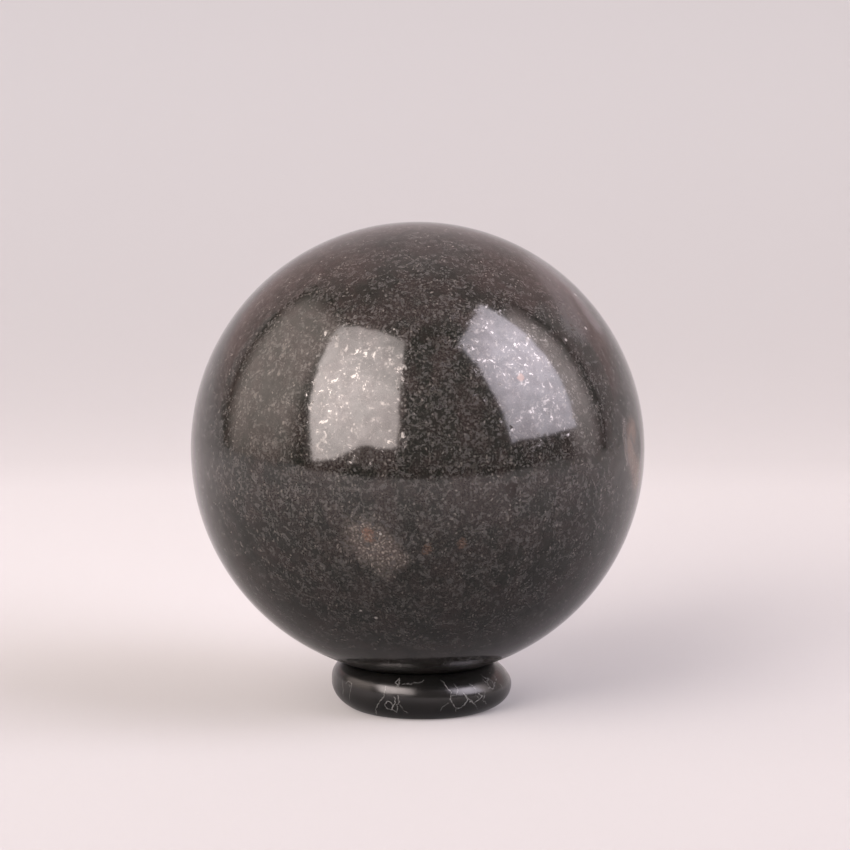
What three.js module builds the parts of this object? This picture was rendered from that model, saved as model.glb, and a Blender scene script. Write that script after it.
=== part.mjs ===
// A polished stone sphere resting in its small stone ring stand.
//
// Millimetres, +Z up. The origin is the middle of the stand's foot, on the
// surface it stands on, and the front of the object faces -Y.

import * as THREE from "three";

// Driving dimensions: the sphere
const sphereRadius = 40;
const sphereSegments = 72;

// Driving dimensions: the ring stand
const ringOuterRadius = 16;
const ringBoreRadius = 7.5;
const ringEquatorHeight = 4.25; // where its rounded outer wall bulges most
const wallHalfWidth = 6; // of the oval that the outer wall follows
const wallHalfHeight = 4.65;
const seatRimRadius = 13.3; // outer edge of the hollow that the sphere sits in
const seatGap = 0.2; // clearance between the sphere and its seat
const boreEdgeRadius = 0.8; // rounding where the bore meets the foot
const wallOffset = 0.7; // the hand-cut wall is fuller towards +X
const equatorDip = 0.3; // and bulges lower there than towards -X
const ringSegments = 72;
const wallSteps = 16;
const seatSteps = 6;
const boreEdgeSteps = 3;

// The seat is part of a ball a little larger than the sphere, and its rim
// lies on the outer wall. Together they set how high the sphere sits.
const ovalCentreRadius = ringOuterRadius - wallHalfWidth;
const rimAngle = Math.acos((seatRimRadius - ovalCentreRadius) / wallHalfWidth);
const footAngle = -Math.asin(ringEquatorHeight / wallHalfHeight);
const seatRimHeight = ringEquatorHeight + wallHalfHeight * Math.sin(rimAngle);
const seatRadius = sphereRadius + seatGap;
const sphereCentreHeight = seatRimHeight + Math.sqrt(seatRadius ** 2 - seatRimRadius ** 2);

const sphereStone = new THREE.MeshStandardMaterial({
  name: "mica-flecked dark stone",
  color: 0x45403c,
  roughness: 0.12,
  metalness: 0,
});

const ringStone = new THREE.MeshStandardMaterial({
  name: "black veined stone",
  color: 0x1c1b1a,
  roughness: 0.18,
  metalness: 0,
});

function makeSphere() {
  const geometry = new THREE.SphereGeometry(sphereRadius, sphereSegments, sphereSegments / 2);
  geometry.rotateX(Math.PI / 2);
  const sphere = new THREE.Mesh(geometry, sphereStone);
  sphere.name = "sphere";
  sphere.position.z = sphereCentreHeight;
  return sphere;
}

// The rounded outer wall, from the edge of the foot up to the rim of the seat.
function wallPoints() {
  const points = [];
  for (let step = 0; step <= wallSteps; step++) {
    const angle = THREE.MathUtils.lerp(footAngle, rimAngle, step / wallSteps);
    const radius = ovalCentreRadius + wallHalfWidth * Math.cos(angle);
    const height = ringEquatorHeight + wallHalfHeight * Math.sin(angle);
    points.push(new THREE.Vector2(radius, height));
  }
  return points;
}

// The hollow seat, from just inside its rim to the top of the bore.
function seatPoints() {
  const points = [];
  for (let step = 1; step <= seatSteps; step++) {
    const radius = THREE.MathUtils.lerp(seatRimRadius, ringBoreRadius, step / seatSteps);
    const height = sphereCentreHeight - Math.sqrt(seatRadius ** 2 - radius ** 2);
    points.push(new THREE.Vector2(radius, height));
  }
  return points;
}

// The rounded lower edge of the bore, ending on the flat foot.
function boreEdgePoints() {
  const points = [];
  for (let step = 0; step <= boreEdgeSteps; step++) {
    const angle = (Math.PI / 2) * (step / boreEdgeSteps);
    const radius = ringBoreRadius + boreEdgeRadius * (1 - Math.cos(angle));
    const height = boreEdgeRadius * (1 - Math.sin(angle));
    points.push(new THREE.Vector2(radius, height));
  }
  return points;
}

// Moves the outer wall towards +X, and its bulge down on that side. The rim
// of the seat, the seat, the bore and the plane of the foot stay as turned.
// In each turn of the profile the wall's points follow the foot's inner edge.
function cutWallUnevenly(geometry, profileLength) {
  const position = geometry.attributes.position;
  for (let index = 0; index < position.count; index++) {
    const step = (index % profileLength) - 1;
    if (step >= 0 && step < wallSteps) {
      const height = position.getZ(index);
      const belowRim = 1 - THREE.MathUtils.smoothstep(height, ringEquatorHeight, seatRimHeight);
      const bulge = Math.sin(Math.PI * (step / wallSteps));
      const side = position.getX(index) / ringOuterRadius;
      position.setX(index, position.getX(index) + wallOffset * belowRim);
      position.setZ(index, height - equatorDip * bulge * side);
    }
  }
}

function makeRingStand() {
  const boreEdge = boreEdgePoints();
  const footInnerEdge = boreEdge[boreEdge.length - 1].clone();
  const profile = [footInnerEdge, ...wallPoints(), ...seatPoints(), ...boreEdge];
  const geometry = new THREE.LatheGeometry(profile, ringSegments);
  geometry.rotateX(Math.PI / 2);
  cutWallUnevenly(geometry, profile.length);
  const ringStand = new THREE.Mesh(geometry, ringStone);
  ringStand.name = "ring_stand";
  return ringStand;
}

const decorativeSphere = new THREE.Group();
decorativeSphere.add(makeSphere(), makeRingStand());

export default decorativeSphere;
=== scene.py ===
"""A polished stone ball resting in its small veined stone ring stand."""

import math

import bpy
from mathutils import Matrix, Vector


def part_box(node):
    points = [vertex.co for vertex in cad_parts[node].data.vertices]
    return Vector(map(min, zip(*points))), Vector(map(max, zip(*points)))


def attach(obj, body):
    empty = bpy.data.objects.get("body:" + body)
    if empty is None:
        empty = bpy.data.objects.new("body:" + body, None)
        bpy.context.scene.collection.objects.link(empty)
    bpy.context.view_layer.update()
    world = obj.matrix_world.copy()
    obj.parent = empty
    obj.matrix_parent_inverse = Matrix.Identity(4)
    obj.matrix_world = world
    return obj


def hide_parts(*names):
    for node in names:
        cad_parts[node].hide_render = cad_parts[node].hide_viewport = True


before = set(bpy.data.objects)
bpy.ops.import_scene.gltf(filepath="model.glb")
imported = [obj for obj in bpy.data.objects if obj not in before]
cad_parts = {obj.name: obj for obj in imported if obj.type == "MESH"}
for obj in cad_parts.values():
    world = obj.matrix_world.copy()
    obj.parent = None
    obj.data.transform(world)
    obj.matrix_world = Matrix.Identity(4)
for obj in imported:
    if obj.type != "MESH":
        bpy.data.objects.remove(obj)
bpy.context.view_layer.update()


# ---------------------------------------------------------------------------
# Ring stand
# A ring turned from black stone with pale veins. Its outer wall is rounded
# and polished by hand, a little unevenly; its foot is ground flat, its bore
# is drilled, and a hollow ground into the top follows the ball.
# ---------------------------------------------------------------------------

ball_low, ball_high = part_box("sphere")
ball_centre = (ball_low + ball_high) / 2
ball_radius = (ball_high.x - ball_low.x) / 2
ring_low, ring_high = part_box("ring_stand")
ring_radius = (ring_high.x - ring_low.x) / 2
wall_offset = (ring_high.x + ring_low.x) / 2  # the wall is fuller towards +X
seat_rim_height = ring_high.z

equator_height = 0.00425  # where the outer wall bulges most
equator_dip = 0.0003  # and how much lower it bulges towards +X
oval_half_width = 0.006  # of the oval that the bar is turned to
oval_half_height = 0.00465
oval_radius = ring_radius - oval_half_width
seat_gap = 0.0002
seat_radius = ball_radius + seat_gap
bore_radius = 0.0075
bore_edge = 0.0008  # rounding where the bore meets the foot
bore_edge_steps = 6
oval_points = 144
turn_steps = 288
mm_per_metre = 1000
touching = 0.00001
crease_angle = math.radians(35)

rim_angle = math.asin((seat_rim_height - equator_height) / oval_half_height)
foot_angle = -math.asin(equator_height / oval_half_height)


def smooth_share(value, start, end):
    """value's smooth change from 0 at start to 1 at end."""
    share = min(max((value - start) / (end - start), 0), 1)
    return share * share * (3 - 2 * share)


def uneven_wall(point):
    """Where the hand-cut outer wall lies, for a point of the evenly turned ring."""
    out = math.hypot(point.x, point.y) - oval_radius
    up = point.z - equator_height
    if out <= 0:
        return point
    angle = math.atan2(up / oval_half_height, out / oval_half_width)
    along = min(max((angle - foot_angle) / (rim_angle - foot_angle), 0), 1)
    moved = point.copy()
    moved.x += wall_offset * (1 - smooth_share(point.z, equator_height, seat_rim_height))
    moved.z -= equator_dip * math.sin(math.pi * along) * point.x / ring_radius
    return moved


# The bar's section is an oval standing on edge, trimmed by the foot, the bore
# and the seat, and then turned about the ring's axis.
bpy.ops.object.select_all(action="DESELECT")
bpy.ops.mesh.primitive_circle_add(
    vertices=oval_points,
    radius=oval_half_width,
    location=(oval_radius, 0, equator_height),
    rotation=(math.pi / 2, 0, 0),
)
ring = bpy.context.object
ring.name = "veined_ring_stand"
ring.scale.y = oval_half_height / oval_half_width
bpy.ops.object.transform_apply(location=True, rotation=True, scale=True)
for vertex in ring.data.vertices:
    radius = max(vertex.co.x, bore_radius)
    seat_height = ball_centre.z - math.sqrt(seat_radius**2 - radius**2)
    vertex.co = (radius, 0, max(min(vertex.co.z, seat_height), 0))

bpy.ops.object.mode_set(mode="EDIT")
bpy.ops.mesh.select_all(action="SELECT")
bpy.ops.mesh.remove_doubles(threshold=2 * touching)
bpy.ops.mesh.spin(steps=turn_steps, angle=2 * math.pi, center=(0, 0, 0), axis=(0, 0, 1))
bpy.ops.mesh.select_all(action="SELECT")
bpy.ops.mesh.remove_doubles(threshold=touching)
bpy.ops.mesh.normals_make_consistent(inside=False)

# Round the lower mouth of the bore.
bpy.ops.mesh.select_all(action="DESELECT")
bpy.ops.object.mode_set(mode="OBJECT")
for edge in ring.data.edges:
    ends = [ring.data.vertices[index].co for index in edge.vertices]
    edge.select = all(
        end.z < touching and end.xy.length < bore_radius + touching for end in ends
    )
bpy.ops.object.mode_set(mode="EDIT")
bpy.ops.mesh.select_mode(type="EDGE")
bpy.ops.mesh.bevel(offset=bore_edge, segments=bore_edge_steps)
bpy.ops.object.mode_set(mode="OBJECT")

# Cut the outer wall unevenly. The seat stays as it was turned.
for vertex in ring.data.vertices:
    from_seat = (vertex.co - ball_centre).length - seat_radius
    if from_seat > 2 * touching:
        vertex.co = uneven_wall(vertex.co)
bpy.ops.object.shade_smooth_by_angle(angle=crease_angle)


def set_inputs(owner, node, inputs):
    """Gives each input of a node its value, or links the output that feeds it."""
    for name, value in inputs.items():
        if isinstance(value, bpy.types.NodeSocket):
            owner.node_tree.links.new(value, node.inputs[name])
        else:
            node.inputs[name].default_value = value


def add_node(material, kind, inputs, **settings):
    """Adds a shader node with its settings and inputs."""
    node = material.node_tree.nodes.new("ShaderNode" + kind)
    for name, value in settings.items():
        setattr(node, name, value)
    set_inputs(material, node, inputs)
    return node


def sum_up(material, operation, *values):
    """A Math node's result."""
    inputs = dict(enumerate(values))
    return add_node(material, "Math", inputs, operation=operation).outputs[0]


def place_sum(material, operation, *values):
    """A Vector Math node's vector result."""
    inputs = dict(enumerate(values))
    return add_node(material, "VectorMath", inputs, operation=operation).outputs[0]


def stretched(material, vector, factor):
    """A vector made factor times as long."""
    inputs = {0: vector, "Scale": factor}
    return add_node(material, "VectorMath", inputs, operation="SCALE").outputs[0]


def apart(material, one, other):
    """The distance between two places."""
    node = add_node(material, "VectorMath", {0: one, 1: other}, operation="DISTANCE")
    return node.outputs["Value"]


def faded(material, value, start, end, low=0.0, high=1.0):
    """value's smooth change from low at start to high at end."""
    node = add_node(
        material,
        "MapRange",
        {"Value": value, "From Min": start, "From Max": end, "To Min": low, "To Max": high},
        interpolation_type="SMOOTHSTEP",
    )
    return node.outputs["Result"]


def blended(material, share, first, second):
    """Two colours mixed by share."""
    inputs = {"Factor": share, "A": first, "B": second}
    return add_node(material, "Mix", inputs, data_type="RGBA").outputs["Result"]


def new_stone(name, centre):
    """A fresh material, its gloss shader, and millimetres measured from centre."""
    material = bpy.data.materials.new(name)
    material.use_nodes = True
    shader = material.node_tree.nodes["Principled BSDF"]
    own = add_node(material, "TexCoord", {}).outputs["Object"]
    to_middle = tuple(-mm_per_metre * c for c in centre)
    in_mm = add_node(
        material,
        "Mapping",
        {"Vector": own, "Location": to_middle, "Scale": (mm_per_metre,) * 3},
    )
    return material, shader, in_mm.outputs["Vector"]


def noise(material, where, size, detail=2.0, roughness=0.5):
    """Smooth random spots about size millimetres across: their value and colour."""
    inputs = {"Vector": where, "Scale": 1 / size, "Detail": detail, "Roughness": roughness}
    node = add_node(material, "TexNoise", inputs)
    return node.outputs["Fac"], node.outputs["Color"]


def random_push(material, random_colour, spread):
    """A push in a random direction, drawn from a random colour."""
    push = place_sum(material, "SUBTRACT", random_colour, (0.5, 0.5, 0.5))
    return place_sum(material, "MULTIPLY", push, spread)


def wandered(material, where, size, distance):
    """The place, pushed about by up to some millimetres in random directions."""
    push = random_push(material, noise(material, where, size)[1], (2 * distance,) * 3)
    return place_sum(material, "ADD", where, push)


def borders(material, where, size):
    """How far each place is from the border of random cells, in cell sizes."""
    inputs = {"Vector": where, "Scale": 1 / size}
    cells = add_node(material, "TexVoronoi", inputs, feature="DISTANCE_TO_EDGE")
    return cells.outputs["Distance"]


plain_black = (0.0050, 0.0052, 0.0048, 1)
cloudy_black = (0.0100, 0.0096, 0.0090, 1)
vein_white = (0.15, 0.154, 0.15, 1)

black_stone, ring_gloss, ring_place = new_stone("black veined stone", (0, 0, 0))
ring_radius_mm = mm_per_metre * ring_radius

# The wall unrolled: millimetres round the front, and millimetres up. The veins
# on it are a little shaky.
split = add_node(black_stone, "SeparateXYZ", {"Vector": ring_place})
toward_front = sum_up(black_stone, "MULTIPLY", split.outputs["Y"], -1.0)
around = sum_up(black_stone, "ARCTAN2", split.outputs["X"], toward_front)
around = sum_up(black_stone, "MULTIPLY", around, ring_radius_mm)
unrolled = add_node(
    black_stone, "CombineXYZ", {"X": around, "Y": split.outputs["Z"]}
).outputs[0]
shake = noise(black_stone, ring_place, size=0.7, detail=3.0)[1]
shake = random_push(black_stone, shake, (0.75, 0.75, 0.0))
unrolled = place_sum(black_stone, "ADD", unrolled, shake)


def on_wall(spot):
    """A spot given as degrees round from the front and millimetres up, unrolled."""
    degrees, height = spot
    return Vector((math.radians(degrees) * ring_radius_mm, height, 0))


def from_line(material, where, start, end):
    """How far each place is from the straight line between two spots."""
    course = Vector(end) - Vector(start)
    out = place_sum(material, "SUBTRACT", where, tuple(start))
    along = add_node(
        material,
        "VectorMath",
        {0: out, 1: tuple(course / course.length_squared)},
        operation="DOT_PRODUCT",
    ).outputs["Value"]
    along = add_node(material, "Clamp", {"Value": along}).outputs[0]
    return apart(material, out, stretched(material, tuple(course), along))


def from_path(material, where, spots):
    """How far each place is from the path that runs through the spots."""
    nearest = from_line(material, where, spots[0], spots[1])
    for start, end in zip(spots[1:], spots[2:]):
        reach = from_line(material, where, start, end)
        nearest = sum_up(material, "MINIMUM", nearest, reach)
    return nearest


def from_veins(material, where, veins, loop, loop_radius):
    """How far each place is from the nearest of the veins, one of them a round loop."""
    reach = apart(material, where, tuple(on_wall(loop)))
    nearest = sum_up(material, "ABSOLUTE", sum_up(material, "SUBTRACT", reach, loop_radius))
    for spots in veins:
        reach = from_path(material, where, [on_wall(spot) for spot in spots])
        nearest = sum_up(material, "MINIMUM", nearest, reach)
    return nearest


# Each vein runs through a few spots: degrees round from the front, and
# millimetres up.
bold_veins = [
    [(-13, 6.4), (-15, 7.1), (-13, 7.5), (-12, 6.9), (-13.5, 6.4)],
    [(-21, 6.2), (-22, 4.6), (-27, 2.9), (-33, 0.5)],
    [(-15, 4.7), (-14, 3.6), (-16, 3.0), (-17, 2.4), (-14, 1.7), (-13, 2.8)],
    [(-12.5, 4.8), (-11.5, 3.8), (-13.5, 3.1)],
    [(16.5, 7.3), (20, 6.0), (21.5, 5.4), (20.5, 4.2), (22, 3.3), (25.5, 2.4), (25.5, 1.7)],
    [(30, 5.0), (32, 3.9), (31, 3.0), (27, 2.3), (25.5, 2.4)],
    [(30, 5.0), (32, 4.2), (34.4, 3.5), (37.5, 3.0), (41, 3.6), (43.5, 4.1), (41, 4.5)],
]
faint_veins = [
    [(-71, 6.9), (-68.5, 4.6)],
    [(-55, 5.7), (-52, 6.2), (-48.5, 5.9), (-51, 5.4), (-48.5, 5.6), (-53.5, 2.0)],
    [(-11.5, 3.3), (-9, 2.1), (-6.5, 1.7)],
    [(-10, 6.7), (1, 7.0), (4, 7.4)],
    [(19.5, 3.5), (16, 2.9), (15, 2.1)],
    [(37.5, 3.0), (42.5, 1.5)],
    [(49, 6.6), (50.5, 5.8), (49.5, 5.2), (54, 5.0), (59, 5.7), (63.5, 6.4), (60, 7.2)],
    [(50.5, 7.4), (51, 6.8), (55, 6.5)],
    [(63, 5.2), (66, 4.2)],
    [(25, 6.6), (26.5, 5.6), (24, 4.8), (20.8, 4.7)],
    [(36, 6.4), (39.5, 5.4), (38, 4.4), (41, 3.6)],
    [(46, 4.6), (44.5, 3.2), (48.5, 2.4)],
    [(-60, 6.0), (-58, 4.4), (-61, 2.6)],
]
vein_edge = 0.13  # millimetres from a vein's middle to where it ends
vein_core = 0.03
knot_spot = (34.4, 3.5)  # where veins cross in a bright knot
knot_radius = 0.16
faint_share = 0.55

bold = from_veins(black_stone, unrolled, bold_veins, loop=(-18.7, 2.9), loop_radius=0.75)
knot = apart(black_stone, unrolled, tuple(on_wall(knot_spot)))
knot = sum_up(black_stone, "SUBTRACT", knot, knot_radius)
bold = sum_up(black_stone, "MINIMUM", bold, knot)
faint = from_veins(black_stone, unrolled, faint_veins, loop=(53.7, 5.7), loop_radius=0.73)

# Elsewhere the veins are a loose net, thick in some places and absent in others.
net_place = wandered(black_stone, ring_place, size=2.2, distance=1.1)
net = borders(black_stone, net_place, size=5.5)
net = faded(black_stone, net, 0.030, 0.008)
net_patches = noise(black_stone, ring_place, size=7.0)[0]
net_patches = faded(black_stone, net_patches, 0.50, 0.62)
net = sum_up(black_stone, "MULTIPLY", net, net_patches)
behind = faded(black_stone, toward_front, 4.0, -2.0)
net = sum_up(black_stone, "MULTIPLY", net, behind)

strength = noise(black_stone, ring_place, size=0.45, detail=3.0)[0]
strength = faded(black_stone, strength, 0.36, 0.60, 0.25, 1.0)
bold = faded(black_stone, bold, vein_edge, vein_core)
bold = sum_up(black_stone, "MULTIPLY", bold, strength)
faint = faded(black_stone, faint, vein_edge, vein_core)
faint = sum_up(black_stone, "MULTIPLY", faint, strength)
faint = sum_up(black_stone, "MULTIPLY", faint, faint_share)
veins = sum_up(black_stone, "MAXIMUM", sum_up(black_stone, "MAXIMUM", bold, faint), net)

# The black clouds over a little, and its polish is uneven.
cloud = noise(black_stone, ring_place, size=4.0, detail=4.0)[0]
cloud = faded(black_stone, cloud, 0.35, 0.70)
ring_colour = blended(black_stone, cloud, plain_black, cloudy_black)
ring_colour = blended(black_stone, veins, ring_colour, vein_white)
polish = noise(black_stone, ring_place, size=1.8, detail=3.0)[0]
polish = faded(black_stone, polish, 0.3, 0.7, 0.19, 0.27)

set_inputs(
    black_stone, ring_gloss, {"Base Color": ring_colour, "Roughness": polish, "IOR": 1.52}
)
ring.data.materials.append(black_stone)
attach(ring, "root")
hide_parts("ring_stand")


# ---------------------------------------------------------------------------
# Ball
# A solid ball of dark stone full of fine silvery mica, ground round and
# polished to a mirror gloss. It rests loose in the stand's hollow.
# ---------------------------------------------------------------------------

ball_cuts = 99

bpy.ops.object.select_all(action="DESELECT")
bpy.ops.mesh.primitive_cube_add(size=2 * ball_radius, location=ball_centre)
ball = bpy.context.object
ball.name = "stone_ball"
bpy.ops.object.mode_set(mode="EDIT")
bpy.ops.mesh.select_all(action="SELECT")
bpy.ops.mesh.subdivide(number_cuts=ball_cuts)
bpy.ops.object.mode_set(mode="OBJECT")
grinding = ball.modifiers.new("ground round", "CAST")
grinding.cast_type = "SPHERE"
grinding.factor = 1
grinding.use_radius_as_size = False
grinding.size = ball_radius
bpy.ops.object.modifier_apply(modifier=grinding.name)
bpy.ops.object.transform_apply(location=True, rotation=True, scale=True)
bpy.ops.object.shade_smooth()


def toward(degrees_round, degrees_up):
    """A spot on the ball, in millimetres from its middle.

    It lies degrees round from the front, towards +X, and degrees up.
    """
    turned = math.radians(degrees_round)
    raised = math.radians(degrees_up)
    out = math.cos(raised)
    direction = Vector((math.sin(turned) * out, -math.cos(turned) * out, math.sin(raised)))
    return mm_per_metre * ball_radius * direction


# A small flat, left by the grinding, at the right.
flat_depth = 0.00020
flat_face = toward(70, 3).normalized()
for vertex in ball.data.vertices:
    above = (vertex.co - ball_centre).dot(flat_face) - (ball_radius - flat_depth)
    if above > 0:
        vertex.co -= above * flat_face


def flecks(material, where, spacing, length, width, share):
    """Flakes lying every way: how bright each place is, and a colour for each flake.

    spacing, length and width are in millimetres. share is how many of the
    places that could hold a flake do hold one. Most flakes are dull, and a few
    are bright.
    """
    cell = add_node(material, "TexVoronoi", {"Vector": where, "Scale": 1 / spacing})
    random_colour = cell.outputs["Color"]
    full_turns = (7.0, 11.0, 5.0)  # radians, so that a flake may lie any way
    turn = place_sum(material, "MULTIPLY", random_colour, full_turns)
    across = place_sum(material, "SUBTRACT", where, cell.outputs["Position"])
    laid = add_node(
        material,
        "VectorRotate",
        {"Vector": across, "Rotation": turn},
        rotation_type="EULER_XYZ",
    ).outputs[0]
    laid = place_sum(material, "DIVIDE", laid, (length / 2, width / 2, width / 2))
    reach = apart(material, laid, (0, 0, 0))
    shape = faded(material, reach, 1.5, 0.3)
    chance = add_node(material, "SeparateColor", {"Color": random_colour})
    held = sum_up(material, "LESS_THAN", chance.outputs["Red"], share)
    brightness = sum_up(material, "POWER", chance.outputs["Green"], 1.5)
    brightness = sum_up(material, "MULTIPLY_ADD", brightness, 0.85, 0.15)
    held = sum_up(material, "MULTIPLY", held, brightness)
    return sum_up(material, "MULTIPLY", shape, held), random_colour


def mark(material, where, spot, radius):
    """A mark that is full round the spot and gone beyond radius millimetres."""
    reach = apart(material, where, tuple(toward(*spot)))
    return faded(material, reach, radius, radius * 0.5)


def streak(material, where, spots, radius):
    """A mark along the path through the spots."""
    reach = from_path(material, where, [toward(*spot) for spot in spots])
    return faded(material, reach, radius, radius * 0.3)


def stained(material, colour, shape, strength, stain):
    """A colour with a stain in it, where the shape lies."""
    share = sum_up(material, "MULTIPLY", shape, strength)
    return blended(material, share, colour, stain)


green_black = (0.0054, 0.0062, 0.0048, 1)
brown_black = (0.0128, 0.0103, 0.0090, 1)
grain_grey = (0.090, 0.083, 0.075, 1)
patch_buff = (0.170, 0.147, 0.131, 1)
rust_brown = (0.098, 0.057, 0.040, 1)
deep_brown = (0.007, 0.0042, 0.003, 1)
tan = (0.115, 0.062, 0.040, 1)
smear_grey = (0.105, 0.103, 0.104, 1)
streak_rust = (0.085, 0.052, 0.036, 1)
edge_grey = (0.080, 0.070, 0.064, 1)
line_brown = (0.014, 0.008, 0.006, 1)
mica_silver = (0.142, 0.138, 0.132, 1)
# The pale colour of the painted glints below, spots that stand in for flakes catching the light.
painted_glint_white = (0.20, 0.19, 0.18, 1)

dark_stone, ball_gloss, ball_place = new_stone("mica-flecked dark stone", ball_centre)

# The ground of the stone: nearly black, here greener and there browner.
curled = wandered(dark_stone, ball_place, size=2.4, distance=0.8)
tone = noise(dark_stone, curled, size=4.5, detail=3.0, roughness=0.6)[0]
tone = faded(dark_stone, tone, 0.38, 0.62)
ground_tone = blended(dark_stone, tone, green_black, brown_black)

# Dull grains, crumbs and sparse pale specks, thick in some places and thin in
# others, over a fine speckle.
speckle = noise(dark_stone, ball_place, size=0.38, detail=2.0, roughness=0.6)[0]
speckle = faded(dark_stone, speckle, 0.38, 0.70)
crowd = noise(dark_stone, curled, size=3.2, detail=2.0)[0]
crowd = faded(dark_stone, crowd, 0.38, 0.64, 0.15, 1.0)
crumbs = noise(dark_stone, curled, size=0.75, detail=3.0, roughness=0.7)[0]
crumbs = faded(dark_stone, crumbs, 0.53, 0.72)
crumbs = sum_up(dark_stone, "MULTIPLY", crumbs, crowd)
grain_crowd = sum_up(dark_stone, "MULTIPLY", crowd, 0.6)
grain = flecks(
    dark_stone, curled, spacing=0.60, length=0.66, width=0.34, share=grain_crowd
)[0]
spark_crowd = sum_up(dark_stone, "MULTIPLY", crowd, 0.30)
sparks = flecks(
    dark_stone, curled, spacing=0.52, length=0.62, width=0.34, share=spark_crowd
)[0]

# Chains of flakes that curl round the borders of larger crystals.
chain_place = wandered(dark_stone, ball_place, size=1.5, distance=0.7)
chain = borders(dark_stone, chain_place, size=2.4)
chain = faded(dark_stone, chain, 0.14, 0.02)
gaps = noise(dark_stone, ball_place, size=0.75, detail=1.0)[0]
gaps = faded(dark_stone, gaps, 0.45, 0.65)
chain = sum_up(dark_stone, "MULTIPLY", chain, gaps)
cluster = noise(dark_stone, ball_place, size=4.0)[0]
chain_crowd = faded(dark_stone, cluster, 0.40, 0.60)
chain = sum_up(dark_stone, "MULTIPLY", chain, chain_crowd)

light = sum_up(dark_stone, "MULTIPLY", speckle, 0.15)
for layer, share in ((crumbs, 0.15), (grain, 0.16), (chain, 0.14), (sparks, 1.1)):
    light = sum_up(dark_stone, "MULTIPLY_ADD", layer, share, light)

# A paler, warmer patch low on the front, full of flakes.
loosely = wandered(dark_stone, ball_place, size=4.0, distance=2.0)
patch = streak(dark_stone, loosely, [(-13, -14.3), (-8.5, -18.8)], radius=5.4)
patch_flakes = flecks(
    dark_stone, curled, spacing=0.50, length=0.66, width=0.40, share=0.9
)[0]
patch_light = sum_up(dark_stone, "MULTIPLY_ADD", patch_flakes, 0.92, 0.14)
light = sum_up(dark_stone, "MULTIPLY_ADD", patch, patch_light, light)
stone_colour = blended(dark_stone, light, ground_tone, grain_grey)
patch_colour = blended(dark_stone, light, ground_tone, patch_buff)
stone_colour = blended(dark_stone, patch, stone_colour, patch_colour)

# A rusty spot in it, and two fainter ones beside it.
strayed = wandered(dark_stone, ball_place, size=1.6, distance=0.8)
rust = mark(dark_stone, strayed, (-12, -13), radius=1.7)
for spot in ((2.6, -16.5), (11, -15.2)):
    faint_rust = mark(dark_stone, strayed, spot, radius=1.3)
    faint_rust = sum_up(dark_stone, "MULTIPLY", faint_rust, 0.45)
    rust = sum_up(dark_stone, "MAXIMUM", rust, faint_rust)
rust_grain = faded(dark_stone, speckle, 0.0, 0.6, 0.3, 1.0)
stone_colour = stained(dark_stone, stone_colour, rust, rust_grain, rust_brown)

# A dark brown spot at the right, and a tan one higher up.
dark_spot = mark(dark_stone, strayed, (23.5, -2.3), radius=1.6)
stone_colour = blended(dark_stone, dark_spot, stone_colour, deep_brown)
tan_spot = mark(dark_stone, strayed, (28.4, 24.4), radius=0.9)
stone_colour = blended(dark_stone, tan_spot, stone_colour, tan)

# A pale smear high on the right, with a fainter haze beside it.
smear_spots = [(78, 57), (76, 50), (74.5, 45), (72, 40), (71, 36)]
smear = streak(dark_stone, strayed, smear_spots, radius=3.2)
haze = streak(dark_stone, strayed, [(69, 55), (62, 45), (57, 37)], radius=5.0)
haze = sum_up(dark_stone, "MULTIPLY", haze, 0.55)
smear = sum_up(dark_stone, "MAXIMUM", smear, haze)
stone_colour = stained(dark_stone, stone_colour, smear, 0.6, smear_grey)

# The flat is rusty, with a pale edge and a thin brown line.
rusty = streak(dark_stone, strayed, [(69, 7), (68, 3), (70, -1), (73, -5)], radius=3.4)
stone_colour = stained(dark_stone, stone_colour, rusty, 0.9, streak_rust)
edge_spots = [(64.2, 10.2), (63.4, 7), (63.7, 3.3), (64.5, 0.2)]
pale_edge = streak(dark_stone, ball_place, edge_spots, radius=1.2)
stone_colour = stained(dark_stone, stone_colour, pale_edge, 0.75, edge_grey)
line_spots = [(68, 6.2), (69.9, 3.7), (73.4, 0.5)]
brown_line = streak(dark_stone, ball_place, line_spots, radius=0.8)
stone_colour = blended(dark_stone, brown_line, stone_colour, line_brown)

# Mica that glints, as single flakes and in crumbly clusters.
glint_crowd = faded(dark_stone, cluster, 0.38, 0.60, 0.18, 1.0)
flake_crowd = sum_up(dark_stone, "MULTIPLY", glint_crowd, 0.7)
flakes, flake_colour = flecks(
    dark_stone, curled, spacing=0.655, length=0.70, width=0.38, share=flake_crowd
)
flakes = sum_up(dark_stone, "MULTIPLY", flakes, 0.8)
clusters = noise(dark_stone, curled, size=1.0, detail=3.0, roughness=0.65)[0]
clusters = faded(dark_stone, clusters, 0.558, 0.650)
clusters = sum_up(dark_stone, "MULTIPLY", clusters, glint_crowd)
mica = sum_up(dark_stone, "MAXIMUM", flakes, clusters)
stone_colour = blended(dark_stone, mica, stone_colour, mica_silver)

# Painted glints, pale spots that stand in for single flakes catching the light: where each lies,
# and its radius.
painted_glint_spots = [
    ((-17, -35.4), 0.32),
    ((-12.7, -37.7), 0.38),
    ((-9, -12.7), 0.30),
    ((62, 35.2), 0.42),
    ((48.7, 33), 0.36),
    ((74, 44.5), 0.45),
]
for spot, radius in painted_glint_spots:
    painted_glint = mark(dark_stone, ball_place, spot, radius)
    stone_colour = blended(dark_stone, painted_glint, stone_colour, painted_glint_white)

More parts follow.
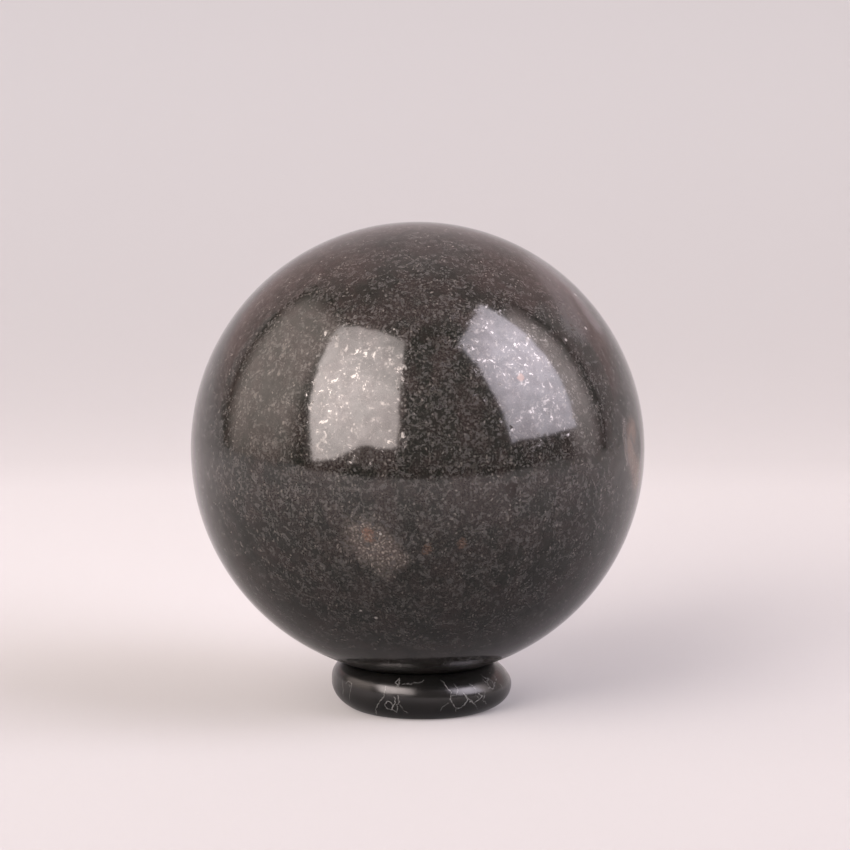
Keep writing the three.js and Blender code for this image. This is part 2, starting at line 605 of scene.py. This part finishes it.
# Each mica flake is tilted a little its own way, in a faintly wavy polish.
tilt = place_sum(dark_stone, "SUBTRACT", flake_colour, (0.5, 0.5, 0.5))
tilt = stretched(dark_stone, tilt, sum_up(dark_stone, "MULTIPLY", mica, 0.12))
waves = noise(dark_stone, ball_place, size=2.8, detail=1.0)[1]
waves = random_push(dark_stone, waves, (0.022, 0.022, 0.022))
level = add_node(dark_stone, "NewGeometry", {}).outputs["Normal"]
tilted = place_sum(dark_stone, "ADD", place_sum(dark_stone, "ADD", level, tilt), waves)
tilted = place_sum(dark_stone, "NORMALIZE", tilted)

# Mica is duller than the ground, and so is the scuffed underside.
dullness = faded(dark_stone, mica, 0.0, 1.0, 0.09, 0.20)
scuff_start = -33.8  # millimetres up from the ball's middle
scuff_full = -36.2
height = add_node(dark_stone, "SeparateXYZ", {"Vector": ball_place}).outputs["Z"]
scuffed = faded(dark_stone, height, scuff_start, scuff_full, 0.0, 0.32)
dullness = sum_up(dark_stone, "MAXIMUM", dullness, scuffed)

# Some grains take the polish better than others.
mottle = noise(dark_stone, curled, size=2.0, detail=2.0)[0]
mottle = faded(dark_stone, mottle, 0.32, 0.66, 0.43, 0.53)

set_inputs(
    dark_stone,
    ball_gloss,
    {
        "Base Color": stone_colour,
        "Metallic": mica,
        "Roughness": dullness,
        "IOR": 1.55,
        "Specular IOR Level": mottle,
        "Normal": tilted,
    },
)
ball.data.materials.append(dark_stone)
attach(ball, "root")
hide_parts("sphere")


# ---------------------------------------------------------------------------
# Studio
# A pale cloth swept up behind the object and over it, on a wide floor inside
# a round wall. Two soft boxes stand in front of it to the left and right, and
# two dim boards further round.
# ---------------------------------------------------------------------------

cloth_front = -0.42
cloth_back = 0.25
cloth_width = 2.6
sweep_radius = 0.80
sweep_steps = 24
ceiling_height = 1.5
ceiling_front = -0.5
floor_radius = 5
floor_drop = 0.0005  # so that the cloth lies on top of it
wall_radius = 4.9
wall_height = 8
wall_foot = -0.1
round_points = 96

bpy.ops.object.select_all(action="DESELECT")
bpy.ops.mesh.primitive_plane_add(size=1, location=(0, (cloth_front + cloth_back) / 2, 0))
cloth = bpy.context.object
cloth.name = "cloth_sweep"
cloth.scale = (cloth_width, cloth_back - cloth_front, 1)
bpy.ops.object.transform_apply(location=True, rotation=True, scale=True)
bpy.ops.object.mode_set(mode="EDIT")
bpy.ops.mesh.select_all(action="DESELECT")
bpy.ops.object.mode_set(mode="OBJECT")
for edge in cloth.data.edges:
    ends = [cloth.data.vertices[index].co for index in edge.vertices]
    edge.select = all(end.y > cloth_back - 0.001 for end in ends)
bpy.ops.object.mode_set(mode="EDIT")
bpy.ops.mesh.select_mode(type="EDGE")
bpy.ops.mesh.spin(
    steps=sweep_steps,
    angle=-math.pi / 2,
    center=(0, cloth_back, sweep_radius),
    axis=(1, 0, 0),
)
bpy.ops.mesh.extrude_region_move(
    TRANSFORM_OT_translate={"value": (0, 0, ceiling_height - sweep_radius)}
)
bpy.ops.mesh.extrude_region_move(
    TRANSFORM_OT_translate={"value": (0, ceiling_front - cloth_back - sweep_radius, 0)}
)
bpy.ops.object.mode_set(mode="OBJECT")
bpy.ops.object.shade_smooth()

bpy.ops.object.select_all(action="DESELECT")
bpy.ops.mesh.primitive_circle_add(
    vertices=round_points, radius=floor_radius, fill_type="NGON", location=(0, 0, -floor_drop)
)
ground = bpy.context.object
ground.name = "ground"
ground.visible_glossy = False

# The cloth glows softly: pinker where it is raised, redder towards its sides,
# dimmer overhead, and dim on the floor about the object.
floor_glow = (0.50, 0.455, 0.465, 1)
wall_glow = (0.56, 0.46, 0.465, 1)
side_glow = (0.60, 0.42, 0.41, 1)

pale_cloth = bpy.data.materials.new("pale cloth")
pale_cloth.use_nodes = True
cloth_place = add_node(pale_cloth, "TexCoord", {}).outputs["Object"]
cloth_place = add_node(pale_cloth, "SeparateXYZ", {"Vector": cloth_place}).outputs
raised = faded(pale_cloth, cloth_place["Z"], 0.1, 0.4)
beside = faded(pale_cloth, sum_up(pale_cloth, "ABSOLUTE", cloth_place["X"]), 0.2, 0.6)
raised_glow = blended(pale_cloth, beside, wall_glow, side_glow)
glow_colour = blended(pale_cloth, raised, floor_glow, raised_glow)
overhead = faded(pale_cloth, cloth_place["Z"], 0.7, 1.4, 1.0, 0.44)
glow_strength = faded(pale_cloth, cloth_place["Y"], 0.12, 0.66, 0.12, 1.0)
# A stronger glow on the floor just behind the object: painted light that lightens the shadows
# the object casts there.
shadow_lifting_glow = faded(pale_cloth, cloth_place["Y"], -0.03, 0.05, 0.12, 0.33)
glow_strength = sum_up(pale_cloth, "MAXIMUM", glow_strength, shadow_lifting_glow)
raised = sum_up(pale_cloth, "MULTIPLY", raised, overhead)
glow_strength = sum_up(pale_cloth, "MAXIMUM", glow_strength, raised)
set_inputs(
    pale_cloth,
    pale_cloth.node_tree.nodes["Principled BSDF"],
    {
        "Base Color": (0.105, 0.106, 0.108, 1),
        "Roughness": 0.95,
        "Specular IOR Level": 0.0,
        "Sheen Weight": 0.7,
        "Sheen Roughness": 0.5,
        "Emission Color": glow_colour,
        "Emission Strength": glow_strength,
    },
)
cloth.data.materials.append(pale_cloth)
ground.data.materials.append(pale_cloth)

bpy.ops.object.select_all(action="DESELECT")
bpy.ops.mesh.primitive_cylinder_add(
    vertices=round_points,
    radius=wall_radius,
    depth=wall_height,
    end_fill_type="NOTHING",
    location=(0, 0, wall_foot + wall_height / 2),
)
far_wall = bpy.context.object
far_wall.name = "far_wall"
far_wall.visible_shadow = False


def new_glow(name):
    """A fresh material without a shader, and places on the object that has it."""
    material = bpy.data.materials.new(name)
    material.use_nodes = True
    material.node_tree.nodes.clear()
    return material, add_node(material, "TexCoord", {}).outputs["Object"]


def shine(material, colour, strength):
    """Makes the material shine with a colour."""
    glow = add_node(material, "Emission", {"Color": (*colour, 1), "Strength": strength})
    add_node(material, "OutputMaterial", {"Surface": glow.outputs[0]})


pale_glow, wall_place = new_glow("pale wall")
wall_place = add_node(pale_glow, "SeparateXYZ", {"Vector": wall_place}).outputs
round_back = sum_up(pale_glow, "MULTIPLY_ADD", wall_place["X"], 0.10, wall_place["Y"])
shine(pale_glow, (1.0, 0.85, 0.84), faded(pale_glow, round_back, 1.5, 2.9, 0.22, 0.64))
far_wall.data.materials.append(pale_glow)


def soft_box(
    name, offset, outward, roll, size, colour, brightness, hot, fall, edge=0.001, low=0.001
):
    """A flat light that the camera doesn't see, but that shows in the polish.

    offset is where it stands from the ball's middle, and outward is the way its
    back faces. hot is the place of its brightest part, fall is the distance at
    which the brightness has dropped by a third, edge is how far the brightness
    fades in from its border, and low how far it fades in from its lower border.
    """
    width, height = size
    bpy.ops.object.select_all(action="DESELECT")
    bpy.ops.mesh.primitive_grid_add(x_subdivisions=24, y_subdivisions=2, size=1)
    box = bpy.context.object
    box.name = name
    box.scale = (width, height, 1)
    bpy.ops.object.transform_apply(scale=True)
    back = Vector(outward).normalized()
    across = Vector((0, 0, 1)).cross(back).normalized()
    up = back.cross(across)
    turn = math.radians(roll)
    side = across * math.cos(turn) + up * math.sin(turn)
    box.rotation_mode = "QUATERNION"
    box.rotation_quaternion = Matrix((side, back.cross(side), back)).transposed().to_quaternion()
    box.location = ball_centre + Vector(offset)
    box.visible_camera = False
    box.visible_shadow = False
    panel, spot = new_glow(name)
    share = sum_up(panel, "DIVIDE", apart(panel, spot, (*hot, 0)), fall)
    share = sum_up(panel, "MULTIPLY", share, share)
    share = sum_up(panel, "DIVIDE", 1.0, sum_up(panel, "MULTIPLY_ADD", share, 0.5, 1.0))
    spot = add_node(panel, "SeparateXYZ", {"Vector": spot}).outputs
    for axis, half in (("X", width / 2), ("Y", height / 2)):
        reach = sum_up(panel, "ABSOLUTE", spot[axis])
        share = sum_up(panel, "MULTIPLY", share, faded(panel, reach, half, half - edge))
    fade_in = faded(panel, spot["Y"], -height / 2, -height / 2 + low)
    share = sum_up(panel, "MULTIPLY", share, fade_in)
    shine(panel, colour, sum_up(panel, "MULTIPLY", share, brightness))
    box.data.materials.append(panel)
    return box


left_box = soft_box(
    "left_soft_box",
    offset=(-0.329, -0.473, 0.480),
    outward=(-0.690, -0.661, 0.295),
    roll=13.3,
    size=(0.588, 0.902),
    colour=(1.0, 0.875, 0.84),
    brightness=10.8,
    hot=(-0.13, -0.10),
    fall=0.42,
)
soft_box(
    "right_soft_box",
    offset=(0.487, -0.262, 0.507),
    outward=(0.951, -0.078, 0.298),
    roll=-2.9,
    size=(0.502, 0.844),
    colour=(1.0, 0.91, 1.01),
    brightness=9.8,
    hot=(0.09, 0.0),
    fall=0.34,
)
soft_box(
    "left_board",
    offset=(-0.85, 0.0, 0.34),
    outward=(-0.90, -0.05, 0.30),
    roll=12.0,
    size=(0.98, 1.60),
    colour=(1.0, 0.84, 0.77),
    brightness=2.45,
    hot=(0.35, 0.05),
    fall=0.8,
    edge=0.25,
    low=0.80,
)
soft_box(
    "right_board",
    offset=(0.90, 0.03, 0.36),
    outward=(0.90, 0.16, 0.30),
    roll=0.0,
    size=(0.54, 1.60),
    colour=(1.0, 0.86, 0.85),
    brightness=3.3,
    hot=(-0.2, 0.34),
    fall=0.8,
    edge=0.22,
    low=0.80,
)

# The lower edge of the left soft box is notched: it bows up in one place.
notch_place = 0.04
notch_width = 0.10
notch_height = 0.045
for vertex in left_box.data.vertices:
    if vertex.co.y < -0.4:
        notch = math.exp(-((vertex.co.x - notch_place) / notch_width) ** 2)
        vertex.co.y += notch_height * notch

world = bpy.data.worlds.new("dim room")
bpy.context.scene.world = world
world.use_nodes = True
room = world.node_tree.nodes["Background"]
set_inputs(world, room, {"Color": (0.05, 0.045, 0.045, 1), "Strength": 1.0})


# ---------------------------------------------------------------------------
# Camera
# A long lens, a little above the ball's middle, aimed just over it.
# ---------------------------------------------------------------------------

view_distance = 0.62
view_height = math.radians(7.78)
lens_length = 148.8
sensor_width = 36
aim = ball_centre + Vector((0.0013, 0, 0.0042))

bpy.context.scene.view_settings.view_transform = "Standard"
camera_lens = bpy.data.cameras.new("camera")
camera_lens.lens = lens_length
camera_lens.sensor_width = sensor_width
camera = bpy.data.objects.new("camera", camera_lens)
bpy.context.collection.objects.link(camera)
away = Vector((0, -math.cos(view_height), math.sin(view_height)))
camera.location = aim + away * view_distance
camera.rotation_euler = (math.pi / 2 - view_height, 0, 0)
bpy.context.scene.camera = camera
